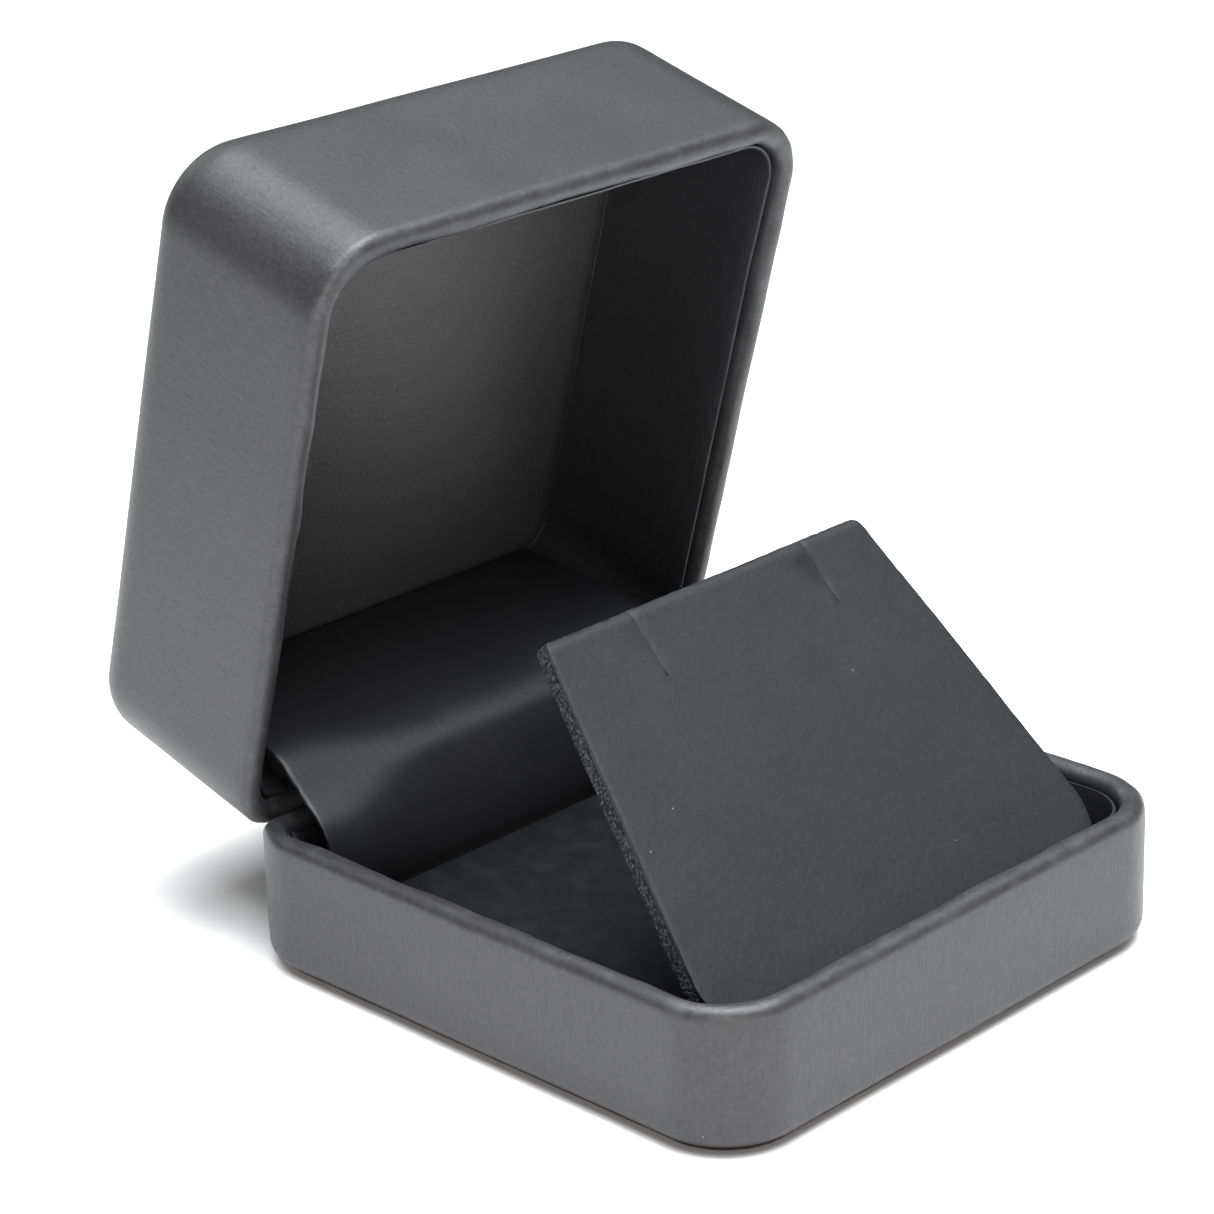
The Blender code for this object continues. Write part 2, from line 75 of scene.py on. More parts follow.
def node_extent(node, axis=(0.0, 0.0), degrees=0.0):
    """Lowest and highest corner of a node in mm, turned back about an axis first."""
    mesh = frame["nodes"][node].data
    flat = np.empty(len(mesh.vertices) * 3)
    mesh.vertices.foreach_get("co", flat)
    points = turned(flat.reshape(-1, 3) / MM, axis, degrees)
    return points.min(0), points.max(0)


# Joints
HINGE = tuple(value / MM for value in joint("lid_hinge")["pos_m"][1:])
LID_OPEN = joint("lid_hinge")["range_deg"][1]
FOLD = tuple(value / MM for value in joint("flap_fold")["pos_m"][1:])
FLAP_UP = -joint("flap_fold")["range_deg"][0]

# Outer sizes, from the frame
BASE_LOW, BASE_HIGH = node_extent("base_wrap")
LID_LOW, LID_HIGH = node_extent("lid_wrap", HINGE, LID_OPEN)
WIDTH = BASE_HIGH[0] - BASE_LOW[0]
DEPTH = BASE_HIGH[1] - BASE_LOW[1]
BASE_FOOT = BASE_LOW[2]
BASE_RISE = BASE_HIGH[2] - BASE_LOW[2]
LID_TOP = LID_HIGH[2]
LID_RISE = LID_HIGH[2] - LID_LOW[2]

# Corner and edge radii, and the wall's layers as insets from the outer face
BASE_CORNER = 10.2
LID_CORNER = 9.7
BASE_EDGE = 2.2
LID_EDGE = 5.4
SKIN = 0.8
RIM_WIDTH = 3.1
NOSE = RIM_WIDTH / 2.0
LINER_OUT = 3.4
LINER_IN = 4.2
PANEL_INSET = 4.5
RIM_LAP = 4.5
FOOT_TURN_IN = 9.0
LINER_BELOW_RIM = 1.5
SHELL_IN = 2.0
PANEL = 1.2
GAP = 0.3
LEAF_CLEAR = 28.2
COVE = 0.15

# Grids and edges of the meshes
CORNER_STEPS = 18
OUTLINE_PITCH = 1.3
BEVEL_ANGLE = math.radians(55.0)
SHARP_ANGLE = math.radians(50.0)

# How the rims sink at the back
DIP_START = 36.6
DIP_SLOPE = 0.62
DIP_BLEND = 0.6
DIP_REACH = 6.5

# Cover strip and snap spring
STRIP_HALF = node_extent("hinge_cover_strip")[1][0]
STRIP_SHEET = 0.6
STRIP_FROM_AXIS = 1.9
STRIP_EASE = 0.65
STRIP_WAVE = 0.25
SPRING_HALF = node_extent("hinge_snap_spring")[1][0]
SPRING_SHEET = 0.3
SPRING_RADIUS = 1.5
SPRING_FOOT = -0.58
SPRING_REACH = 7.5

# Display flap, in its own frame: y along it from the fold, z out of its face
FLAP_LENGTH = node_extent("flap_face", FOLD, -FLAP_UP)[1][1] - FOLD[0]
FLAP_TOP = 1.2
FLAP_FACE_LOW = 0.7
FOAM_TOP = 0.55
FOAM_BOTTOM = -1.2
FLAP_FOLD_HALF = 31.6
FLAP_WIDE_HALF = 33.8
FLAP_WIDE_AT = 7.0
FLAP_TIP_HALF = 26.6
SLITS = (-13.2, 16.4)
SLIT_LENGTH = 9.0
SLIT_HALF = 0.008
SLIT_END_HALF = 0.10
FLAP_BEND = 3.0
TIP_ROUND = 1.6
TIP_DRAW = 0.3
ROOT_LOW = 3.3


def smoothstep(value):
    """Ease from 0 to 1."""
    value = np.clip(value, 0.0, 1.0)
    return value * value * (3.0 - 2.0 * value)


def waves(points, size, seed):
    """Smooth noise at each point, from -1 to 1, with waves about a size in mm across."""
    flat = points.reshape(-1, 3)
    shift = Vector((17.3 * seed, 5.1 * seed, 31.7 * seed))
    values = [noise.noise(Vector(point) / size + shift) for point in flat]
    return np.array(values).reshape(points.shape[:-1])


def arc(centre, radius, first, last, steps):
    """Points along an arc, with angles in degrees."""
    angles = np.radians(np.linspace(first, last, steps + 1))
    return [(centre[0] + radius * math.cos(a), centre[1] + radius * math.sin(a)) for a in angles]


def run(start, end, pitch):
    """Points between two ends, without the ends."""
    count = max(1, round(math.dist(start, end) / pitch))
    return [tuple(np.array(start) + (np.array(end) - start) * k / count) for k in range(1, count)]


# ---------------------------------------------------------------- meshes

def make_piece(name, points, faces, grain, material, bevel=None, scuffs_and_highlight=None, flat=None):
    """A mesh from points in mm; grain is where each point lies for the material."""
    mesh = bpy.data.meshes.new(name)
    mesh.from_pydata(points.reshape(-1, 3).tolist(), [], faces)
    mesh.attributes.new("grain", "FLOAT_VECTOR", "POINT").data.foreach_set(
        "vector", np.ascontiguousarray(grain.reshape(-1, 3), np.float32).ravel())
    # "flat" carries painted shade and painted light into some materials and turns the ceiling's streaks;
    # the other attribute marks lighter edges.
    for label, share in (("scuffs_and_highlight", scuffs_and_highlight), ("flat", flat)):
        value = np.zeros(len(mesh.vertices)) if share is None else np.asarray(share, float).ravel()
        layer = mesh.attributes.new(label, "FLOAT", "POINT")
        layer.data.foreach_set("value", value.astype(np.float32))
    piece = bpy.data.objects.new(name, mesh)
    bpy.context.scene.collection.objects.link(piece)
    if bevel:
        edge = piece.modifiers.new("soft_edge", "BEVEL")
        edge.width = bevel
        edge.segments = 2
        edge.limit_method = "ANGLE"
        edge.angle_limit = BEVEL_ANGLE
        graph = bpy.context.evaluated_depsgraph_get()
        rounded = bpy.data.meshes.new_from_object(piece.evaluated_get(graph))
        piece.modifiers.clear()
        piece.data = rounded
        mesh = rounded
    mesh.transform(Matrix.Scale(MM, 4))
    mesh.validate()
    mesh.shade_smooth()
    mesh.set_sharp_from_angle(angle=SHARP_ANGLE)
    mesh.materials.clear()
    mesh.materials.append(material)
    return piece


def ring_faces(rings, count, closed_path, closed_section):
    """Faces between neighbouring rings of a grid of points."""
    faces = []
    for ring in range(rings if closed_path else rings - 1):
        here = ring * count
        there = (ring + 1) % rings * count
        for spot in range(count if closed_section else count - 1):
            after = (spot + 1) % count
            faces.append((here + spot, there + spot, there + after, here + after))
    return faces


def outline(corner):
    """Once round the box from the back's middle: centre x, y and outward direction x, y."""
    half_x = WIDTH / 2.0 - corner
    half_y = DEPTH / 2.0 - corner
    corners = ((-half_x, half_y), (-half_x, -half_y), (half_x, -half_y), (half_x, half_y))
    spots = []
    for quarter, place in enumerate(corners):
        for step in range(CORNER_STEPS + 1):
            angle = math.radians(90.0 * (1 + quarter + step / CORNER_STEPS))
            spots.append((*place, math.cos(angle), math.sin(angle)))
        ahead = corners[(quarter + 1) % 4]
        spots += [(x, y, math.cos(angle), math.sin(angle)) for x, y in run(place, ahead, OUTLINE_PITCH)]
    return np.array(spots)


def rim_dip(spots, corner):
    """How far the rim sinks at each place round the box."""
    past = spots[:, 1] + spots[:, 3] * (corner - NOSE) - DIP_START
    return DIP_SLOPE * (past + np.hypot(past, DIP_BLEND)) / 2.0


def swept(spots, corner, inset, height, scale, rise):
    """Points of a section carried round the box: x, y and height above the closed face."""
    reach = corner - inset
    x = (spots[:, 0:1] + spots[:, 2:3] * reach) * scale
    y = (spots[:, 1:2] + spots[:, 3:4] * reach) * scale
    share = smoothstep((height - (rise - DIP_REACH)) / (DIP_REACH - NOSE))
    return np.stack([x, y, height - rim_dip(spots, corner)[:, None] * share], axis=-1)


def base_place(points):
    """From height above the base's closed face to the row frame."""
    out = points.copy()
    out[..., 2] += BASE_FOOT
    return out


def lid_place(points):
    """From height below the closed lid's top to the row frame, with the lid open."""
    out = points.copy()
    out[..., 2] = LID_TOP - out[..., 2]
    return turned(out, HINGE, -LID_OPEN)


def wrap_section(rise, edge, closed_rows):
    """Leatherette from the closed face up the wall, over the rim and down inside."""
    tuck = SKIN / 2.0
    wall = arc((edge, edge), edge, -90.0, -180.0, 10)
    wall += run((0.0, edge), (0.0, rise - NOSE), 1.4)
    wall += arc((NOSE, rise - NOSE), NOSE, 180.0, 0.0, 20)
    wall += run((RIM_WIDTH, rise - NOSE), (RIM_WIDTH, rise - RIM_LAP), 0.7)
    wall += arc((RIM_WIDTH - tuck, rise - RIM_LAP), tuck, 0.0, -180.0, 6)
    wall += arc((NOSE, rise - NOSE), NOSE - SKIN, 0.0, 180.0, 10)
    wall += run((SKIN, rise - NOSE), (SKIN, edge), 2.8)
    wall += arc((edge, edge), edge - SKIN, -180.0, -90.0, 6)
    back = [(inset, SKIN, scale) for inset, _, scale in reversed(closed_rows)]
    return np.array(closed_rows + [(*row, 1.0) for row in wall] + back)


def flat_rows(edge, to_middle):
    """Rows across a flat closed face: scaled towards the middle, or turned in for a short way."""
    if to_middle:
        return [(edge, 0.0, scale) for scale in (0.04, 0.2, 0.36, 0.52, 0.68, 0.8, 0.9, 0.96)]
    return [(inset, 0.0, 1.0) for inset in (FOOT_TURN_IN, 7.0, 5.0, 3.4)]


def make_cover(name, corner, rise, edge, to_middle, place, material, seed):
    """Leatherette wrap of the base or the lid, with a soft, slightly uneven rim."""
    spots = outline(corner)
    section = wrap_section(rise, edge, flat_rows(edge, to_middle))
    inset = np.tile(section[:, 0], (len(spots), 1))
    height = np.tile(section[:, 1], (len(spots), 1))
    scale = section[:, 2]
    plain = swept(spots, corner, inset, height, scale, rise)
    rim = smoothstep((height - (rise - 5.0)) / 4.0)
    inward = smoothstep((inset - 0.9) / 1.6) * rim
    turning = np.minimum(np.abs(spots[:, 2]), np.abs(spots[:, 3]))[:, None] > 0.02
    corner_share = (2.0 * np.abs(spots[:, 2] * spots[:, 3]))[:, None] * turning
    inset += 0.10 * waves(plain, 15.0, seed)
    inset += inward * (0.44 * waves(plain, 8.5, seed + 1) + 0.14 * waves(plain, 3.4, seed + 2))
    inset += rim * corner_share * 0.10 * waves(plain, 1.5, seed + 3)
    height += rim * (0.12 * waves(plain, 9.0, seed + 4) + 0.06 * waves(plain, 3.4, seed + 5))
    if to_middle:
        flat = smoothstep(1.0 - plain[..., 2] / edge) * smoothstep((1.02 - scale) / 0.5)
        height -= 0.28 * flat
    shaped = swept(spots, corner, inset, height, scale, rise)
    faces = ring_faces(len(spots), len(section), True, not to_middle)
    if to_middle:
        count = len(section)
        faces.append([ring * count for ring in range(len(spots))][::-1])
        faces.append([ring * count + count - 1 for ring in range(len(spots))])
    on_nose = np.exp(-((plain[..., 2] - rise + 0.4) / 0.9) ** 2) * (0.55 + 0.45 * corner_share)
    on_edge = np.exp(-((plain[..., 2] - edge * 0.35) / 0.8) ** 2) * 0.4 * (inset < 1.5)
    scuffs_and_highlight = np.clip(on_nose + on_edge, 0.0, 1.0)
    # Painted shade: the lap turned down under the rim is painted darker and rougher, where the rim shades
    # it.
    inside = smoothstep((inset - 2.7) / 0.4) * (plain[..., 2] > rise - RIM_LAP - SKIN)
    return make_piece(name, place(shaped), faces, plain, material, scuffs_and_highlight=scuffs_and_highlight, flat=inside)


def make_lining(name, corner, low, rise, place, material, seed):
    """Wall lining round three sides, with a rolled top edge and its ends by the cover strip."""
    spots = outline(corner)
    x = spots[:, 0] + spots[:, 2] * (corner - LINER_IN)
    beside = (spots[:, 3] < 0.99) | (np.abs(x) > LEAF_CLEAR)
    first = int(np.argmax(beside & ~np.roll(beside, 1)))
    spots = np.roll(spots, -first, axis=0)[:int(beside.sum())]
    high = rise - LINER_BELOW_RIM
    middle = (LINER_OUT + LINER_IN) / 2.0
    half = (LINER_IN - LINER_OUT) / 2.0
    section = [(LINER_OUT, low)] + run((LINER_OUT, low), (LINER_OUT, high - half), 3.0)
    section += arc((middle, high - half), half, 180.0, 0.0, 8)
    section += run((LINER_IN, high - half), (LINER_IN, low), 1.2) + [(LINER_IN, low)]
    section = np.array(section)
    inset = np.tile(section[:, 0], (len(spots), 1))
    height = np.tile(section[:, 1], (len(spots), 1))
    plain = swept(spots, corner, inset, height, 1.0, rise)
    top = smoothstep((height - (high - 5.0)) / 5.0)
    inset -= 0.42 * top * (inset > middle)
    inset += 0.10 * waves(plain, 12.0, seed) + 0.12 * top * waves(plain, 6.0, seed + 1)
    height += top * 0.16 * waves(plain, 9.0, seed + 2)
    shaped = swept(spots, corner, inset, height, 1.0, rise)
    count = len(section)
    faces = ring_faces(len(spots), count, False, True)
    faces.append(list(range(count)))
    faces.append(list(range((len(spots) - 1) * count, len(spots) * count))[::-1])
    # Painted highlight: the rolled top edge is painted lighter, in scuff-noise patches.
    scuffs_and_highlight = np.exp(-((plain[..., 2] - high) / 0.4) ** 2)
    return make_piece(name, place(shaped), faces, plain, material, scuffs_and_highlight=scuffs_and_highlight)


def make_lid_lining(seed):
    """Lining of the lid: ceiling, tight cove and walls in one, cut short behind the cover strip."""
    spots = outline(LID_CORNER)
    top = LID_TOP - node_extent("lid_ceiling_panel", HINGE, LID_OPEN)[0][2]
    at_x = spots[:, 0] + spots[:, 2] * (LID_CORNER - LINER_IN)
    at_y = spots[:, 1] + spots[:, 3] * (LID_CORNER - LINER_IN)
    hidden = smoothstep((LEAF_CLEAR + 2.0 - np.abs(at_x)) / 2.0) * smoothstep((at_y - 35.0) / 1.0)
    hidden = hidden[:, None]
    high_end = LID_RISE - LINER_BELOW_RIM - hidden * (LID_RISE - LINER_BELOW_RIM - 19.5)
    thick = LINER_IN - LINER_OUT
    wall_top = top + COVE
    columns = []
    for scale in (0.03, 0.2, 0.36, 0.52, 0.66, 0.78, 0.88, 0.95):
        columns.append((LINER_IN + COVE, top, scale))
    for angle in np.radians(np.linspace(-90.0, -180.0, 13)):
        columns.append((LINER_IN + COVE + COVE * math.cos(angle), wall_top + COVE * math.sin(angle), 1.0))
    for share in np.linspace(0.0, 1.0, 17)[1:]:
        columns.append((LINER_IN, wall_top + (high_end - 0.2 - top - COVE) * share, 1.0))
    columns.append((LINER_IN - 0.06, high_end - 0.05, 1.0))
    columns.append((LINER_IN - 0.2, high_end, 1.0))
    columns.append((LINER_OUT + 0.05, high_end, 1.0))
    columns.append((LINER_OUT, high_end - 0.08, 1.0))
    for share in np.linspace(1.0, 0.0, 7)[1:]:
        columns.append((LINER_OUT, wall_top + (high_end - 0.3 - top - COVE) * share, 1.0))
    outer = COVE + thick
    for angle in np.radians(np.linspace(-180.0, -90.0, 9))[1:]:
        columns.append((LINER_IN + COVE + outer * math.cos(angle), wall_top + outer * math.sin(angle), 1.0))
    columns.append((LINER_IN + COVE, top - thick, 0.4))
    inset, height = (np.hstack([np.broadcast_to(column[k], high_end.shape) for column in columns])
                     for k in (0, 1))
    scale = np.array([column[2] for column in columns])
    plain = swept(spots, LID_CORNER, inset, height, scale, LID_RISE)
    rim = smoothstep((height - (high_end - 4.0)) / 4.0)
    inset -= 0.38 * rim * (inset > (LINER_IN + LINER_OUT) / 2.0) * (scale > 0.99)
    inset += 0.10 * waves(plain, 12.0, seed) + 0.10 * rim * waves(plain, 6.0, seed + 1)
    height += 0.14 * waves(plain, 17.0, seed + 2) + 0.12 * rim * waves(plain, 9.0, seed + 3)
    shaped = swept(spots, LID_CORNER, inset, height, scale, LID_RISE)
    count = len(columns)
    faces = ring_faces(len(spots), count, True, False)
    faces.append([ring * count for ring in range(len(spots))][::-1])
    faces.append([ring * count + count - 1 for ring in range(len(spots))])
    # This marks the ceiling: it turns the streaks there, and it paints the ceiling lighter as painted
    # light.
    flat = smoothstep((top + 1.0 - height) / 0.6) * (scale < 0.99)
    return make_piece("lid_lining", lid_place(shaped), faces, plain, LID_INSIDE, flat=flat)


def plate_outline(corner, inset, front=None, back=None):
    """The box's outline at an inset, cut straight at the front or the back."""
    spots = outline(corner)
    points = spots[:, :2] + spots[:, 2:] * (corner - inset)
    if front is not None:
        points[:, 1] = np.maximum(points[:, 1], front)
    if back is not None:
        points[:, 1] = np.minimum(points[:, 1], back)
    keep = np.linalg.norm(points - np.roll(points, 1, axis=0), axis=1) > 0.02
    return points[keep]


def make_plate(name, edge_points, rows, place, material, shape, painted_edge_highlight_at=None):
    """A plate of an outline: rows are (how far in from the edge, height), from top to underside."""
    low = edge_points.min(0)
    high = edge_points.max(0)
    middle = (low + high) / 2.0
    half = (high - low) / 2.0
    rings = []
    for inward, height in rows:
        scaled = middle + (edge_points - middle) * (1.0 - inward / half)
        rings.append(np.column_stack([scaled, np.full(len(scaled), height)]))
    plain = np.array(rings)
    count = len(edge_points)
    faces = ring_faces(len(rows), count, False, True)
    faces.append(list(range(count)))
    faces.append(list(range((len(rows) - 1) * count, len(rows) * count))[::-1])
    # Painted highlight: a band round the panel's rounded top edge is painted lighter, in scuff-noise
    # patches.
    scuffs_and_highlight = None if painted_edge_highlight_at is None else np.exp(-((plain[..., 2] - painted_edge_highlight_at[0]) / painted_edge_highlight_at[1]) ** 2)
    return make_piece(name, place(shape(plain)), faces, plain, material, scuffs_and_highlight=scuffs_and_highlight)


def slab(name, across, along, place, low, high, material, bevel, keep=None, layers=1, shade=None):
    """A sheet on a grid; place(u, v, height) gives points, and keep says which cells are there."""
    u, v = np.meshgrid(across, along, indexing="ij")
    rows, columns = u.shape
    kept = np.ones((rows - 1, columns - 1), bool) if keep is None else keep
    heights = [low + (high - low) * k / layers for k in range(layers + 1)]
    points = np.array([place(u, v, height) for height in heights])
    grain = np.array([np.stack([layer[..., 0], v, np.full_like(v, height)], -1)
                      for layer, height in zip(points, heights)])
    size = rows * columns
    faces = []

    def at(i, j, layer):
        return layer * size + i * columns + j

    padded_keep = np.pad(kept, 1)
    for i, j in np.argwhere(kept):
        top = [(i, j), (i + 1, j), (i + 1, j + 1), (i, j + 1)]
        faces.append(tuple(at(*spot, layers) for spot in top))
        faces.append((at(i, j, 0), at(i, j + 1, 0), at(i + 1, j + 1, 0), at(i + 1, j, 0)))
        sides = (((i, j), (i + 1, j), (i + 1, j)), ((i + 1, j), (i + 1, j + 1), (i + 2, j + 1)),
                 ((i + 1, j + 1), (i, j + 1), (i + 1, j + 2)), ((i, j + 1), (i, j), (i, j + 1)))
        for first, second, beyond in sides:
            if not padded_keep[beyond]:
                for k in range(layers):
                    faces.append((at(*first, k), at(*second, k), at(*second, k + 1), at(*first, k + 1)))
    used = np.unique(np.concatenate([np.array(face) for face in faces]))
    place_of = np.full((layers + 1) * size, -1)
    place_of[used] = np.arange(len(used))
    faces = [tuple(int(place_of[index]) for index in face) for face in faces]
    points = points.reshape(-1, 3)[used]
    grain = grain.reshape(-1, 3)[used]
    flat = None if shade is None else np.tile(shade(u, v).ravel(), layers + 1)[used]
    return make_piece(name, points, faces, grain, material, bevel=bevel, flat=flat)


# ---------------------------------------------------------------- materials

LINT_RARITY = 0.62


def nodes_of(name):
    """A new node material with its tree and its shader."""
    material = bpy.data.materials.new(name)
    material.use_nodes = True
    return material, material.node_tree, material.node_tree.nodes["Principled BSDF"]


def attribute(tree, name):
    """An attribute of the mesh."""
    node = tree.nodes.new("ShaderNodeAttribute")
    node.attribute_name = name
    return node.outputs


def grain_source(tree, stretch):
    """Where the grain attribute lies, stretched by a factor along each axis."""
    source = attribute(tree, "grain")
    stretched = tree.nodes.new("ShaderNodeMapping")
    stretched.inputs["Scale"].default_value = stretch
    tree.links.new(source["Vector"], stretched.inputs["Vector"])
    return stretched.outputs["Vector"]


def object_source(tree, stretch):
    """Object coordinates in mm, stretched."""
    source = tree.nodes.new("ShaderNodeTexCoord")
    stretched = tree.nodes.new("ShaderNodeMapping")
    stretched.inputs["Scale"].default_value = [value / MM for value in stretch]
    tree.links.new(source.outputs["Object"], stretched.inputs["Vector"])
    return stretched.outputs["Vector"]


def noise_value(tree, vector, scale, detail, rough):
    """Noise from 0 to 1."""
    texture = tree.nodes.new("ShaderNodeTexNoise")
    texture.inputs["Scale"].default_value = scale
    texture.inputs["Detail"].default_value = detail
    texture.inputs["Roughness"].default_value = rough
    tree.links.new(vector, texture.inputs["Vector"])
    return texture.outputs["Fac"]


def remap(tree, value, from_low, from_high, to_low, to_high):
    """A value carried from one range to another."""
    node = tree.nodes.new("ShaderNodeMapRange")
    node.inputs["From Min"].default_value = from_low
    node.inputs["From Max"].default_value = from_high
    node.inputs["To Min"].default_value = to_low
    node.inputs["To Max"].default_value = to_high
    tree.links.new(value, node.inputs["Value"])
    return node.outputs["Result"]


def maths(tree, operation, first, second):
    """Two values put together."""
    node = tree.nodes.new("ShaderNodeMath")
    node.operation = operation
    for socket, value in zip(node.inputs, (first, second)):
        if isinstance(value, (int, float)):
            socket.default_value = value
        else:
            tree.links.new(value, socket)
    return node.outputs["Value"]


def mixed(tree, share, first, second):
    """Two colours mixed by a share."""
    node = tree.nodes.new("ShaderNodeMix")
    node.data_type = "RGBA"
    tree.links.new(share, node.inputs["Factor"])
    for socket, value in ((node.inputs[6], first), (node.inputs[7], second)):
        if isinstance(value, tuple):
            socket.default_value = (*value, 1.0)
        else:
            tree.links.new(value, socket)
    return node.outputs[2]


def bump(tree, shader, layers):
    """Bump from several (height, distance in mm) layers, one upon another."""
    last = None
    for height, distance in layers:
        node = tree.nodes.new("ShaderNodeBump")
        node.inputs["Distance"].default_value = distance * MM
        tree.links.new(height, node.inputs["Height"])
        if last:
            tree.links.new(last, node.inputs["Normal"])
        last = node.outputs["Normal"]
    tree.links.new(last, shader.inputs["Normal"])


def lint_share(tree, vector, spacing, size):
    """Few tiny pale specks of lint: 1 on a speck and 0 elsewhere."""
    cells = tree.nodes.new("ShaderNodeTexVoronoi")
    cells.inputs["Scale"].default_value = 1.0 / spacing
    tree.links.new(vector, cells.inputs["Vector"])
    near = remap(tree, cells.outputs["Distance"], size * 0.6 / spacing, size / spacing, 1.0, 0.0)
    split = tree.nodes.new("ShaderNodeSeparateColor")
    tree.links.new(cells.outputs["Color"], split.inputs["Color"])
    chosen = maths(tree, "GREATER_THAN", split.outputs["Red"], LINT_RARITY)
    return maths(tree, "MULTIPLY", near, chosen)


def leatherette(name, dark, light, edge_colour_scuffs_and_highlight, stretch, roughness, relief=1.0, flat_stretch=None,
                contrast=1.0, level=0.5, painted_shading_look=None):
    """Satin leatherette: brushed streaks, fine grain, cloudy tone, lighter edges (scuffs on the covers, a
    painted highlight in scuff-noise patches on the lining's top edge and the floor panel's rim) and lint.

    The last argument is (dark, light, added roughness): tones laid where the mesh's "flat" attribute is 1,
    as painted shade on the cover's rim lap and beside the flap's slits, and as painted light on the lid's
    ceiling.
    """
    material, tree, shader = nodes_of(name)
    plain = grain_source(tree, (1.0, 1.0, 1.0))
    streaks = noise_value(tree, grain_source(tree, stretch), 2.4, 6.0, 0.7)
    if flat_stretch:
        other = noise_value(tree, grain_source(tree, flat_stretch), 2.4, 6.0, 0.7)
        flat = attribute(tree, "flat")
        blend = tree.nodes.new("ShaderNodeMix")
        tree.links.new(flat["Fac"], blend.inputs[0])
        tree.links.new(streaks, blend.inputs[2])
        tree.links.new(other, blend.inputs[3])
        streaks = blend.outputs[0]
    fine = noise_value(tree, plain, 5.5, 4.0, 0.6)
    clouds = noise_value(tree, plain, 0.09, 3.0, 0.5)
    mottle = noise_value(tree, plain, 1.4, 3.0, 0.65)
    tone = 0.5
    for pattern, low, high, share in (
            (streaks, 0.25, 0.75, 0.42), (mottle, 0.3, 0.7, 0.6), (clouds, 0.3, 0.7, 0.16)):
        half = share * contrast / 2.0
        tone = maths(tree, "ADD", remap(tree, pattern, low, high, -half, half), tone)
    colour = mixed(tree, tone, dark, light)
    # Lighter edges: real scuffs on the covers; on the lining's rolled top edge and the floor panel's rim, a
    # painted highlight in scuff-noise patches.
    scuffs_and_highlight = attribute(tree, "scuffs_and_highlight")
    scuffs = noise_value(tree, plain, 0.35, 4.0, 0.55)
    edge_share_scuffs_and_highlight = maths(tree, "MULTIPLY", scuffs_and_highlight["Fac"], remap(tree, scuffs, 0.45, 0.7, 0.0, 1.0))
    colour = mixed(tree, edge_share_scuffs_and_highlight, colour, edge_colour_scuffs_and_highlight)
    # Painted shade and painted light: where "flat" is set, the colour gives way to the given dark and light
    # tones.
    if painted_shading_look:
        inside = attribute(tree, "flat")
        colour = mixed(tree, inside["Fac"], colour, mixed(tree, tone, painted_shading_look[0], painted_shading_look[1]))
    specks = lint_share(tree, plain, 3.2, 0.10)
    colour = mixed(tree, maths(tree, "MULTIPLY", specks, 0.6), colour, (0.42, 0.43, 0.45))
    tree.links.new(colour, shader.inputs["Base Color"])
    shader.inputs["Specular IOR Level"].default_value = level
    shine = remap(tree, streaks, 0.3, 0.7, roughness + 0.04, roughness - 0.04)
    if painted_shading_look:
        shine = maths(tree, "ADD", shine, maths(tree, "MULTIPLY", inside["Fac"], painted_shading_look[2]))
    shine = maths(tree, "ADD", shine, remap(tree, clouds, 0.3, 0.7, -0.012 * contrast, 0.012 * contrast))
    tree.links.new(shine, shader.inputs["Roughness"])
    bump(tree, shader, [(streaks, 0.022 * relief), (mottle, 0.028 * relief), (fine, 0.010 * relief)])
    return material


def foam_material():
    """Dark open-cell foam with pores of different tones."""
    material, tree, shader = nodes_of("foam_cells")
    place = grain_source(tree, (1.0, 1.0, 1.0))
    cells = tree.nodes.new("ShaderNodeTexVoronoi")
    cells.inputs["Scale"].default_value = 2.6
    tree.links.new(place, cells.inputs["Vector"])
    patches = noise_value(tree, place, 1.7, 5.0, 0.7)
    tone = maths(tree, "MULTIPLY", remap(tree, cells.outputs["Distance"], 0.1, 0.7, 1.0, 0.0),
                 remap(tree, patches, 0.35, 0.65, 0.1, 1.0))
    colour = mixed(tree, tone, (0.006, 0.006, 0.007), (0.11, 0.11, 0.12))
    tree.links.new(colour, shader.inputs["Base Color"])
    shader.inputs["Roughness"].default_value = 0.9
    shader.inputs["Specular IOR Level"].default_value = 0.25
    bump(tree, shader, [(cells.outputs["Distance"], 0.25), (patches, 0.12)])
    return material


def felt_material():
    """Flocked paper pad."""
    material, tree, shader = nodes_of("foot_felt")
    place = grain_source(tree, (1.0, 1.0, 1.0))
    fibres = noise_value(tree, place, 3.2, 8.0, 0.75)
    tufts = noise_value(tree, place, 0.35, 3.0, 0.5)
    tone = maths(tree, "ADD", remap(tree, fibres, 0.35, 0.65, 0.0, 0.7),
                 remap(tree, tufts, 0.35, 0.65, 0.0, 0.3))
    colour = mixed(tree, tone, (0.006, 0.005, 0.005), (0.035, 0.028, 0.027))
    tree.links.new(colour, shader.inputs["Base Color"])
    shader.inputs["Roughness"].default_value = 0.95
    shader.inputs["Sheen Weight"].default_value = 0.15
    bump(tree, shader, [(fibres, 0.12)])
    return material


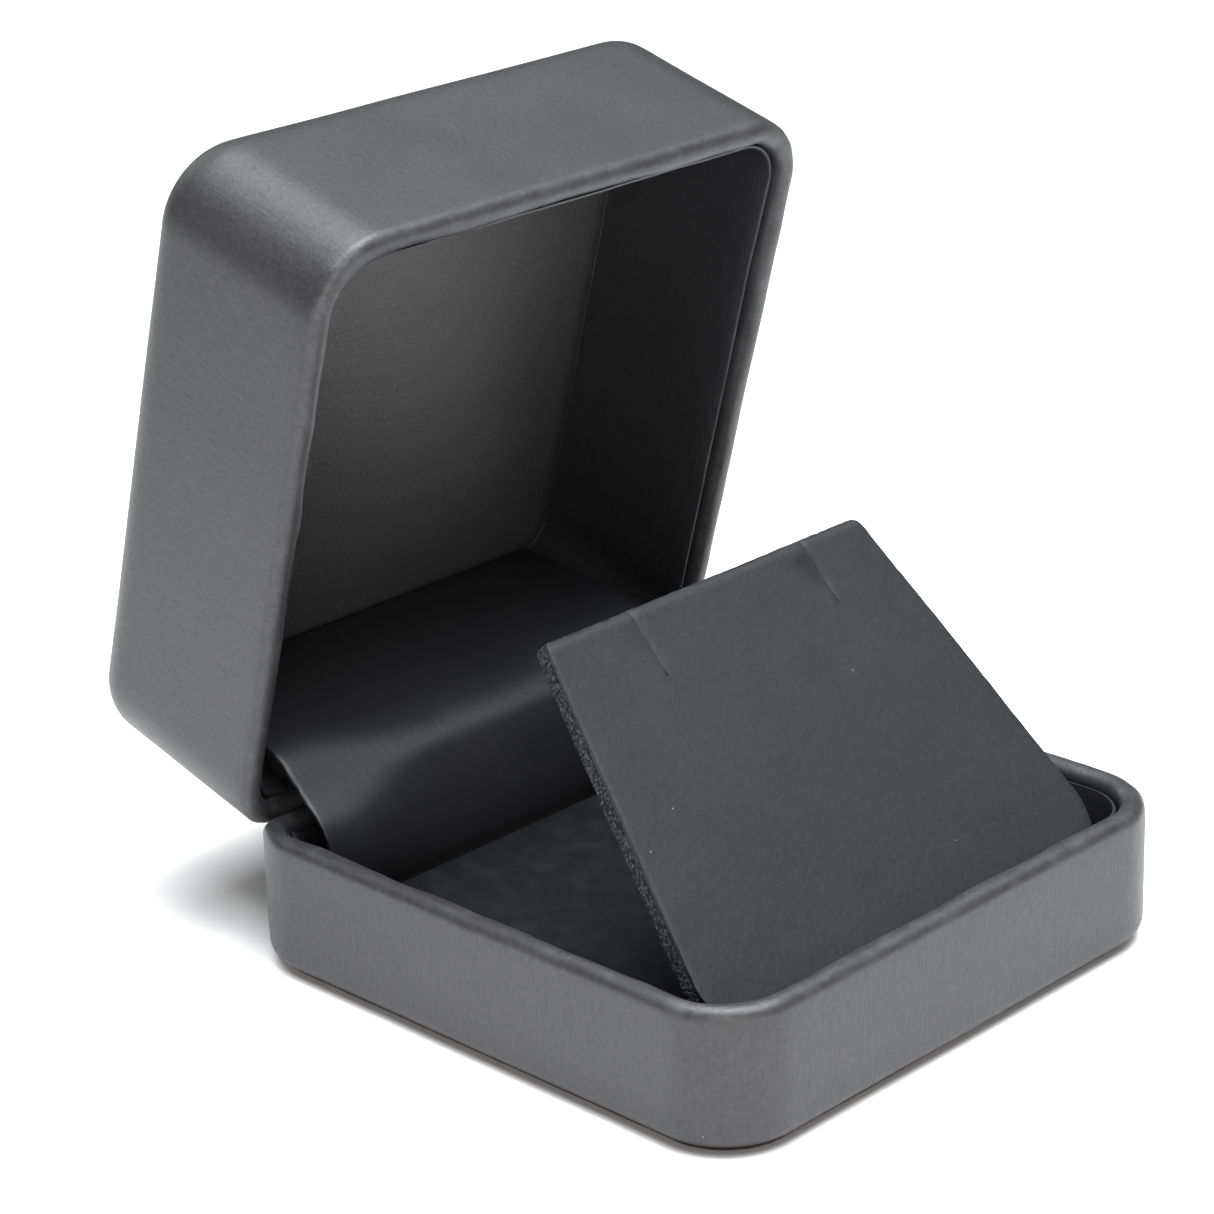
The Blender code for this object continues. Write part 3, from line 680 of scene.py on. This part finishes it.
def board_material():
    """Grey pressed board with short fibres."""
    material, tree, shader = nodes_of("pressed_board")
    place = object_source(tree, (1.0, 1.0, 1.0))
    fibres = noise_value(tree, object_source(tree, (1.0, 0.2, 0.6)), 1.8, 7.0, 0.7)
    clouds = noise_value(tree, place, 0.15, 3.0, 0.5)
    tone = maths(tree, "ADD", remap(tree, fibres, 0.35, 0.65, 0.0, 0.6),
                 remap(tree, clouds, 0.35, 0.65, 0.0, 0.4))
    colour = mixed(tree, tone, (0.025, 0.024, 0.024), (0.055, 0.053, 0.052))
    tree.links.new(colour, shader.inputs["Base Color"])
    tree.links.new(remap(tree, fibres, 0.3, 0.7, 0.72, 0.92), shader.inputs["Roughness"])
    bump(tree, shader, [(fibres, 0.06)])
    return material


def steel_material(name, source):
    """Zinc-plated steel, brushed along X, with faint cloudy tarnish."""
    material, tree, shader = nodes_of(name)
    brushed = noise_value(tree, source(tree, (0.08, 2.0, 2.0)), 3.0, 6.0, 0.7)
    tarnish = noise_value(tree, source(tree, (1.0, 1.0, 1.0)), 0.5, 4.0, 0.6)
    colour = mixed(tree, remap(tree, tarnish, 0.4, 0.7, 0.0, 1.0), (0.62, 0.62, 0.63), (0.42, 0.41, 0.40))
    tree.links.new(colour, shader.inputs["Base Color"])
    tree.links.new(remap(tree, brushed, 0.3, 0.7, 0.28, 0.46), shader.inputs["Roughness"])
    shader.inputs["Metallic"].default_value = 1.0
    bump(tree, shader, [(brushed, 0.012)])
    return material


# ---------------------------------------------------------------- the box

# Its last tones paint the lap under the rim darker: painted shade.
OUTER = leatherette("outer_leatherette", (0.016, 0.0157, 0.017), (0.042, 0.0405, 0.0425),
                    (0.060, 0.060, 0.063), (1.0, 1.0, 0.14), 0.44, relief=1.5,
                    painted_shading_look=((0.008, 0.008, 0.010), (0.015, 0.015, 0.017), 0.2))
# Its third colour paints the lining's top edge lighter: a painted highlight.
INNER_WALL = leatherette("lining_leatherette", (0.012, 0.012, 0.014), (0.020, 0.020, 0.023),
                         (0.03, 0.03, 0.033), (1.0, 1.0, 0.06), 0.42)
# Its last tones paint the ceiling lighter than the walls: painted light.
LID_INSIDE = leatherette("lid_leatherette", (0.012, 0.012, 0.014), (0.022, 0.022, 0.024),
                         (0.04, 0.04, 0.043), (1.0, 1.0, 0.06), 0.40,
                         relief=3.0, flat_stretch=(0.06, 1.0, 1.0),
                         painted_shading_look=((0.034, 0.033, 0.034), (0.054, 0.053, 0.054), -0.01))
# Its third colour paints the floor panel's rim lighter: a painted highlight.
INNER_FLAT = leatherette("panel_leatherette", (0.005, 0.005, 0.006), (0.009, 0.009, 0.011),
                         (0.03, 0.03, 0.033), (1.0, 0.3, 1.0), 0.58, relief=0.12, contrast=0.1, level=0.3)
STRIP = leatherette("strip_leatherette", (0.014, 0.014, 0.016), (0.022, 0.022, 0.025),
                    (0.04, 0.04, 0.043), (0.15, 1.0, 1.0), 0.35, contrast=0.6)
# Its last tones paint the creases by the slits darker: painted shade.
FLAP_SKIN = leatherette("flap_leatherette", (0.009, 0.009, 0.011), (0.019, 0.0195, 0.0225),
                        (0.05, 0.05, 0.053), (1.0, 0.5, 1.0), 0.58, relief=1.8, level=0.34,
                        painted_shading_look=((0.003, 0.003, 0.004), (0.006, 0.006, 0.007), 0.4))
FOAM = foam_material()
FELT = felt_material()
BOARD = board_material()
STEEL = steel_material("plated_steel", object_source)
SPRING_STEEL = steel_material("spring_steel", grain_source)


def keep_piece(piece, body, slot, *nodes):
    """Ride on a body and stand for CAD nodes; slot, the finish's name, is not used."""
    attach(piece, body)
    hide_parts(*nodes)


def make_base():
    """Cover, lining, floor panel and foot pad of the base."""
    cover = make_cover("base_cover", BASE_CORNER, BASE_RISE, BASE_EDGE, False, base_place, OUTER, 1)
    keep_piece(cover, "base", "leatherette", "base_wrap")
    lining = make_lining("base_lining", BASE_CORNER, SHELL_IN + GAP, BASE_RISE, base_place, INNER_WALL, 11)
    keep_piece(lining, "base", "inner_leatherette", "base_wall_liner")
    low, high = node_extent("base_floor_panel")
    edge = plate_outline(BASE_CORNER, PANEL_INSET, front=low[1], back=high[1])
    top = high[2] - BASE_FOOT
    soft = 0.45
    rows = [(inward, top) for inward in (30.0, 22.0, 15.0, 9.0, 5.0, 2.5, 1.2)]
    rows += [(soft - x, top - soft + z) for x, z in arc((0.0, 0.0), soft, 90.0, 0.0, 5)]
    rows += [(0.0, low[2] - BASE_FOOT), (6.0, low[2] - BASE_FOOT), (30.0, low[2] - BASE_FOOT)]

    def pillow(plain):
        out = plain.copy()
        out[..., 2] += np.where(plain[..., 2] > top - 0.1, 0.03 * waves(plain, 14.0, 21), 0.0)
        return out

    # The last pair places the painted highlight round the panel's top edge.
    floor = make_plate("floor_cover", edge, rows, base_place, INNER_FLAT, pillow, (top - 0.25, 0.25))
    keep_piece(floor, "base", "inner_leatherette", "base_floor_panel")
    low, high = node_extent("bottom_pad")
    edge = plate_outline(BASE_CORNER, WIDTH / 2.0 + low[0])
    thick = high[2] - low[2]
    rows = [(30.0, 0.0), (15.0, 0.0), (4.0, 0.0), (0.3, 0.0), (0.06, 0.08), (0.0, 0.22)]
    rows += [(0.05, thick - 0.08), (0.25, thick), (15.0, thick), (30.0, thick)]

    def fuzzy(plain):
        out = plain.copy()
        side = (plain[..., 2] > 0.04) & (plain[..., 2] < thick)
        out[..., :2] *= (1.0 + np.where(side, 0.0022 * waves(plain, 0.9, 23), 0.0))[..., None]
        return out

    pad = make_plate("foot_pad", edge, rows[::-1], lambda points: points, FELT, fuzzy)
    keep_piece(pad, "base", "bottom_pad", "bottom_pad")


def make_lid():
    """Cover of the lid, and its lining with the ceiling."""
    cover = make_cover("lid_cover", LID_CORNER, LID_RISE, LID_EDGE, True, lid_place, OUTER, 31)
    keep_piece(cover, "lid", "leatherette", "lid_wrap")
    lining = make_lid_lining(41)
    keep_piece(lining, "lid", "inner_leatherette", "lid_wall_liner", "lid_ceiling_panel")


def from_lid(y, z):
    """A place in the closed lid, from the hinge axis, as (y, z) with the lid open."""
    point = np.array([0.0, HINGE[0] + y, HINGE[1] + z])
    return turned(point, HINGE, -LID_OPEN)[1:]


def offset_place(path_of):
    """Place points on a sheet whose path in (y, z) is path_of(u, v), at a height off it."""
    def place(u, v, height):
        step = 1e-3
        here = path_of(u, v)
        ahead = path_of(u, np.minimum(v + step, 1.0)) - path_of(u, np.maximum(v - step, 0.0))
        ahead /= np.linalg.norm(ahead, axis=-1, keepdims=True)
        y = here[..., 0] - ahead[..., 1] * height
        z = here[..., 1] + ahead[..., 0] * height
        return np.stack([u, y, z], -1)
    return place


def strip_path(u, v):
    """The cover strip's section: a bow from the floor to the ceiling, tighter in the middle."""
    ends = smoothstep((np.abs(u) - 8.0) / 22.0)[..., None]
    wavy = waves(np.stack([u, np.zeros_like(u), np.zeros_like(u)], -1), 17.0, 51)[..., None]
    foot = (HINGE[0] - STRIP_FROM_AXIS, BASE_FOOT + SHELL_IN + 2.0 * GAP)
    crown = from_lid(-STRIP_FROM_AXIS, LID_TOP - HINGE[1] - SHELL_IN - PANEL - 3.0 * GAP)
    bowed = ((-5.6, -7.8), (-5.6, -2.5), (-0.7, 1.9), (5.1, 7.2), (13.3, 8.6))
    tight = ((-3.4, -7.8), (-2.9, -2.4), (-0.7, 2.3), (4.4, 5.4), (13.3, 7.4))
    middle = np.array(HINGE)
    knots = [np.broadcast_to(foot, (*u.shape, 2))]
    bow = STRIP_EASE * ends + STRIP_WAVE * wavy
    knots += [middle + np.array(near) + bow * (np.array(far) - np.array(near))
              for far, near in zip(bowed, tight)]
    knots += [np.broadcast_to(crown, (*u.shape, 2))]
    knots = np.stack([2.0 * knots[0] - knots[1], *knots, 2.0 * knots[-1] - knots[-2]])
    place = np.clip(v, 0.0, 1.0) * (len(knots) - 3)
    index = np.minimum(place.astype(int), len(knots) - 4)
    share = (place - index)[..., None]
    a, b, c, d = (np.take_along_axis(knots, (index + step)[None, ..., None], 0)[0] for step in range(4))
    return 0.5 * (2.0 * b + (c - a) * share + (2.0 * a - 5.0 * b + 4.0 * c - d) * share ** 2
                  + (3.0 * b - 3.0 * c + d - a) * share ** 3)


def make_strip():
    """Cover strip, bent over the hinge as the lid stands open."""
    along = np.linspace(0.0, 1.0, 61)
    across = np.linspace(-STRIP_HALF, STRIP_HALF, 81)

    def frayed(u, v):
        edge = smoothstep((np.abs(u) - STRIP_HALF + 1.0) / 1.0)
        rough = waves(np.stack([u, v * 60.0, np.zeros_like(u)], -1), 0.8, 53)
        return u + np.sign(u) * edge * (0.16 * rough - 0.1)

    flat_place = offset_place(strip_path)

    def place(u, v, height):
        return np.concatenate([frayed(u, v)[..., None], flat_place(u, v, height)[..., 1:]], -1)

    strip = slab("hinge_cover", across, along, place, -STRIP_SHEET / 2.0, STRIP_SHEET / 2.0, STRIP, 0.12)
    middle = strip_path(np.zeros(400), np.linspace(0.0, 1.0, 400))
    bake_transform(strip)
    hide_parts("hinge_cover_strip")


def make_spring():
    """Snap spring, bent round the hinge as the lid stands open."""
    foot_y = HINGE[0] + SPRING_FOOT
    low_z = HINGE[1] - SPRING_REACH
    path = [(foot_y, low_z), (foot_y, low_z + 1.0), (HINGE[0] - SPRING_RADIUS, low_z + 3.0)]
    path += arc(HINGE, SPRING_RADIUS, 180.0, 180.0 - LID_OPEN, 12)
    path += [tuple(from_lid(y, SPRING_REACH - short))
             for y, short in ((-SPRING_RADIUS, 3.0), (SPRING_FOOT, 1.0), (SPRING_FOOT, 0.0))]
    path = np.array(path)
    gone = np.concatenate([[0.0], np.cumsum(np.linalg.norm(np.diff(path, axis=0), axis=1))])

    def spring_path(u, v):
        return np.stack([np.interp(v, gone / gone[-1], path[:, axis]) for axis in (0, 1)], -1)

    spring = slab("snap_spring", np.linspace(-SPRING_HALF, SPRING_HALF, 9), np.linspace(0.0, 1.0, 49),
                  offset_place(spring_path), -SPRING_SHEET / 2.0, SPRING_SHEET / 2.0, SPRING_STEEL, 0.05)
    end = (0.0, *(value * MM for value in arc(HINGE, SPRING_RADIUS, 180.0 - LID_OPEN, 0.0, 1)[0]))
    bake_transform(spring)
    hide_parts("hinge_snap_spring")


def flap_half(along):
    """Half the flap's width at a distance from its fold."""
    rising = FLAP_FOLD_HALF + (FLAP_WIDE_HALF - FLAP_FOLD_HALF) * np.sin(
        math.pi / 2.0 * np.clip(along, 0.0, FLAP_WIDE_AT) / FLAP_WIDE_AT)
    share = (along - FLAP_WIDE_AT) / (FLAP_LENGTH - FLAP_WIDE_AT)
    falling = FLAP_WIDE_HALF + (FLAP_TIP_HALF - FLAP_WIDE_HALF) * share
    return np.where(along < FLAP_WIDE_AT, rising, falling)


def fold_bend():
    """Half the angle that the flap turns through at its fold, and the bend's radius."""
    half_turn = (math.pi / 2.0 - math.radians(FLAP_UP)) / 2.0
    return half_turn, FLAP_BEND / math.tan(half_turn)


def flap_line(along):
    """The flap's middle line in (y, z) and its direction: up, round the fold and up the slope."""
    half_turn, radius = fold_bend()
    arc_length = 2.0 * radius * half_turn
    start = -arc_length / 2.0
    turned_by = np.clip((along - start) / radius, 0.0, 2.0 * half_turn)
    heading = math.pi / 2.0 - turned_by
    y = FOLD[0] + radius * (1.0 - np.cos(turned_by))
    z = FOLD[1] - FLAP_BEND + radius * np.sin(turned_by)
    before = np.minimum(along - start, 0.0)
    after = np.maximum(along - start - arc_length, 0.0)
    y = y + after * np.cos(heading)
    z = z + before + after * np.sin(heading)
    return y, z, heading


def flap_relief(x, along):
    """How far the flap's face stands off flat: gentle waves, a dent by each slit and a rolled tip."""
    at = np.stack([x, along, np.zeros_like(x)], -1)
    out = 0.16 * waves(at, 19.0, 61) + 0.05 * waves(at, 6.0, 62)
    from_tip = FLAP_LENGTH - along
    for place, depth, wide in zip(SLITS, (0.06, 0.20), (2.6, 3.4)):
        beside = place - x
        fall = np.exp(-(np.maximum(beside, 0.0) / wide) ** 2) * (beside > -0.01)
        fall = fall + np.exp(-(np.minimum(beside, 0.0) / 0.8) ** 2) * (beside <= -0.01) * 0.15
        fall = depth * fall * smoothstep((SLIT_LENGTH - from_tip) / 4.0)
        out = out - fall * smoothstep(0.4 + from_tip / 5.0)
    return out - 0.55 * smoothstep((1.1 - from_tip) / 1.1) ** 2


def flap_x(u, v):
    """Place across the flap: whole values of u are the side edges and the sides of the slits."""
    half = flap_half(np.maximum(v, 0.0))
    past_end = v - (FLAP_LENGTH - SLIT_LENGTH)
    open_half = SLIT_HALF + (SLIT_END_HALF - SLIT_HALF) * smoothstep(1.0 - past_end / 1.2)
    places = [-half, *(place + side * open_half for place in SLITS for side in (-1.0, 1.0)), half]
    out = np.zeros_like(half)
    for index in range(5):
        out = out + np.clip(u - index, 0.0, 1.0) * (places[index + 1] - places[index])
    return places[0] + out


def flap_placer(rough, seed):
    """Place points on the flap at a height off its middle line, with an uneven cut edge."""
    def place(u, v, height):
        x = flap_x(u, v)
        at = np.stack([x, v, np.full_like(x, height)], -1)
        side = smoothstep((np.abs(x) - flap_half(np.maximum(v, 0.0)) + 0.6) / 0.6)
        rounding = np.maximum(v - FLAP_LENGTH + TIP_ROUND, 0.0)
        drawn = TIP_DRAW * (TIP_ROUND - np.sqrt(np.maximum(TIP_ROUND ** 2 - rounding ** 2, 0.0)))
        outer = smoothstep((np.abs(x) - flap_half(v) + 6.0) / 6.0)
        x = x - np.sign(x) * drawn * outer
        tip = smoothstep((v - FLAP_LENGTH + 0.6) / 0.6)
        x = x + np.sign(x) * side * rough * waves(at, 0.9, seed)
        reach = v + tip * rough * waves(at, 0.8, seed + 1)
        y, z, heading = flap_line(reach)
        lift = height + flap_relief(x, v) * smoothstep((v - 2.0) / 8.0)
        return np.stack([x, y - np.sin(heading) * lift, z + np.cos(heading) * lift], -1)
    return place


def flap_crease_painted_shade(u, v):
    """Painted shade in the crease beside each slit: how dark it is, from 0 to 1."""
    x = flap_x(u, v)
    from_tip = FLAP_LENGTH - v
    at = np.stack([x, v, np.zeros_like(x)], -1)
    reach = smoothstep((SLIT_LENGTH + 0.5 - from_tip) / 7.0) * smoothstep((from_tip - 0.8) / 1.6)
    out = np.zeros_like(x)
    for place, deep, wide in zip(SLITS, (0.35, 0.85), (2.6, 3.2)):
        beside = (place - x) / wide
        out += deep * reach * np.exp(-((beside - 0.45 * reach) / (0.12 + 0.5 * reach)) ** 2)
    return np.clip(out * (1.0 + 0.5 * waves(at, 1.6, 81)), 0.0, 1.0)


def make_flap():
    """Leatherette face and foam of the display flap, with their fold down to the floor."""
    low_end = ROOT_LOW - (FOLD[1] - FLAP_BEND)
    half_turn, radius = fold_bend()
    bend_length = 2.0 * radius * half_turn
    first = low_end - bend_length / 2.0
    along = np.concatenate([np.linspace(first, -bend_length / 2.0, 6)[:-1],
                            np.linspace(-bend_length / 2.0, bend_length / 2.0, 15)[:-1],
                            np.linspace(bend_length / 2.0, FLAP_LENGTH - SLIT_LENGTH - 1.0, 34)[:-1],
                            np.linspace(FLAP_LENGTH - SLIT_LENGTH - 1.0, FLAP_LENGTH, 21)])
    across = np.concatenate([np.linspace(0.0, 1.0, 23)[:-1], np.linspace(1.0, 2.0, 2)[:-1],
                             np.linspace(2.0, 3.0, 31)[:-1], np.linspace(3.0, 4.0, 2)[:-1],
                             np.linspace(4.0, 5.0, 21)])

    u_mid = (across[:-1] + across[1:]) / 2.0
    v_mid = (along[:-1] + along[1:]) / 2.0
    in_slit = ((u_mid > 1.0) & (u_mid < 2.0)) | ((u_mid > 3.0) & (u_mid < 4.0))
    keep = ~(in_slit[:, None] & (v_mid > FLAP_LENGTH - SLIT_LENGTH)[None, :])

    # The cover carries painted shade in the creases beside the slits.
    cover = slab("flap_cover", across, along, flap_placer(0.10, 71), FLAP_FACE_LOW, FLAP_TOP, FLAP_SKIN,
                 0.02, keep=keep, shade=flap_crease_painted_shade)
    foam = slab("flap_pad", across, along, flap_placer(0.22, 75), FOAM_BOTTOM, FOAM_TOP, FOAM,
                0.12, keep=keep, layers=4)
    for piece, slot, nodes in ((cover, "leatherette", ("flap_face",)),
                               (foam, "foam", ("flap_foam", "flap_root_tab"))):
        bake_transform(piece)
        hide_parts(*nodes)
    area = cover_area(along)


def cover_area(along):
    """Flat area of the flap's leatherette in square mm."""
    widths = 2.0 * flap_half(np.maximum(along, 0.0))
    return float(((widths[1:] + widths[:-1]) / 2.0 * np.diff(along)).sum())


def dress_frame():
    """Materials for the CAD nodes that stay."""
    for name, node in frame["nodes"].items():
        if node.hide_render:
            continue
        material = BOARD if name.endswith("_shell") else STEEL
        node.data.materials.clear()
        node.data.materials.append(material)


# ---------------------------------------------------------------- floor, light and camera

MIDDLE = Vector((0.0, 0.01, 0.03))
FLOOR_SIZE = 8.0
CAMERA_ANGLES = (-45.162, 21.514, -1.909)
CAMERA_PLACE = (-0.29429, -0.27752, 0.20346)
LENS = 110.0


def make_floor():
    """Pale floor, painted lighter near the box and greyer further out: a painted pool of light."""
    bpy.ops.mesh.primitive_plane_add(size=FLOOR_SIZE, location=(0.0, 0.0, 0.0))
    floor = bpy.context.object
    floor.name = "floor"
    material, tree, shader = nodes_of("pale_floor")
    source = tree.nodes.new("ShaderNodeTexCoord")
    length = tree.nodes.new("ShaderNodeVectorMath")
    length.operation = "LENGTH"
    tree.links.new(source.outputs["Object"], length.inputs[0])
    # Painted pool of light: the colour falls from near white by the box to grey further out.
    far = remap(tree, length.outputs["Value"], 0.10, 0.36, 0.0, 1.0)
    tree.links.new(mixed(tree, far, (0.92, 0.91, 0.90), (0.74, 0.735, 0.73)), shader.inputs["Base Color"])
    shader.inputs["Roughness"].default_value = 0.9
    shader.inputs["Specular IOR Level"].default_value = 0.1
    floor.data.materials.append(material)


def soft_light(name, azimuth, elevation, distance, size, power, colour):
    """A square soft light that looks at the box."""
    turn = math.radians(azimuth)
    tilt = math.radians(elevation)
    away = Vector((math.sin(turn) * math.cos(tilt), -math.cos(turn) * math.cos(tilt), math.sin(tilt)))
    data = bpy.data.lights.new(name, "AREA")
    data.size = size
    data.energy = power
    data.color = colour
    light = bpy.data.objects.new(name, data)
    light.location = MIDDLE + away * distance
    light.rotation_euler = away.to_track_quat("Z", "Y").to_euler()
    bpy.context.scene.collection.objects.link(light)


def make_light():
    """Soft studio light: a pale surround and five soft boxes."""
    world = bpy.data.worlds.new("surround")
    world.use_nodes = True
    shade = world.node_tree.nodes["Background"]
    shade.inputs["Color"].default_value = (0.86, 0.92, 1.0, 1.0)
    shade.inputs["Strength"].default_value = 0.08
    bpy.context.scene.world = world
    soft_light("top_box", 0.0, 86.0, 2.0, 2.2, 95.0, (0.94, 0.975, 1.0))
    soft_light("near_box", 20.0, 82.0, 0.65, 0.4, 5.0, (0.96, 0.98, 1.0))
    soft_light("front_box", -40.0, 14.0, 1.3, 0.5, 7.0, (1.0, 0.96, 0.92))
    soft_light("side_box", 62.0, 40.0, 1.4, 0.35, 0.7, (0.95, 0.98, 1.0))
    soft_light("rear_box", 175.0, 30.0, 1.4, 0.8, 2.5, (0.95, 0.98, 1.0))


def make_camera():
    """Camera at the photograph's viewing angle."""
    azimuth, elevation, roll = (math.radians(value) for value in CAMERA_ANGLES)
    right = Vector((math.cos(azimuth), math.sin(azimuth), 0.0))
    back = Vector((math.sin(azimuth) * math.cos(elevation), -math.cos(azimuth) * math.cos(elevation),
                   math.sin(elevation)))
    up = back.cross(right)
    across = right * math.cos(roll) + up * math.sin(roll)
    upward = up * math.cos(roll) - right * math.sin(roll)
    data = bpy.data.cameras.new("camera")
    data.sensor_width = 36.0
    data.lens = LENS
    data.clip_start = 0.01
    camera = bpy.data.objects.new("camera", data)
    camera.matrix_world = Matrix.Translation(CAMERA_PLACE) @ Matrix(
        (across, upward, back)).transposed().to_4x4()
    bpy.context.scene.collection.objects.link(camera)
    bpy.context.scene.camera = camera
    bpy.context.scene.view_settings.view_transform = "Standard"


make_camera()
make_floor()
make_light()
make_base()
make_lid()
make_strip()
make_spring()
make_flap()
dress_frame()
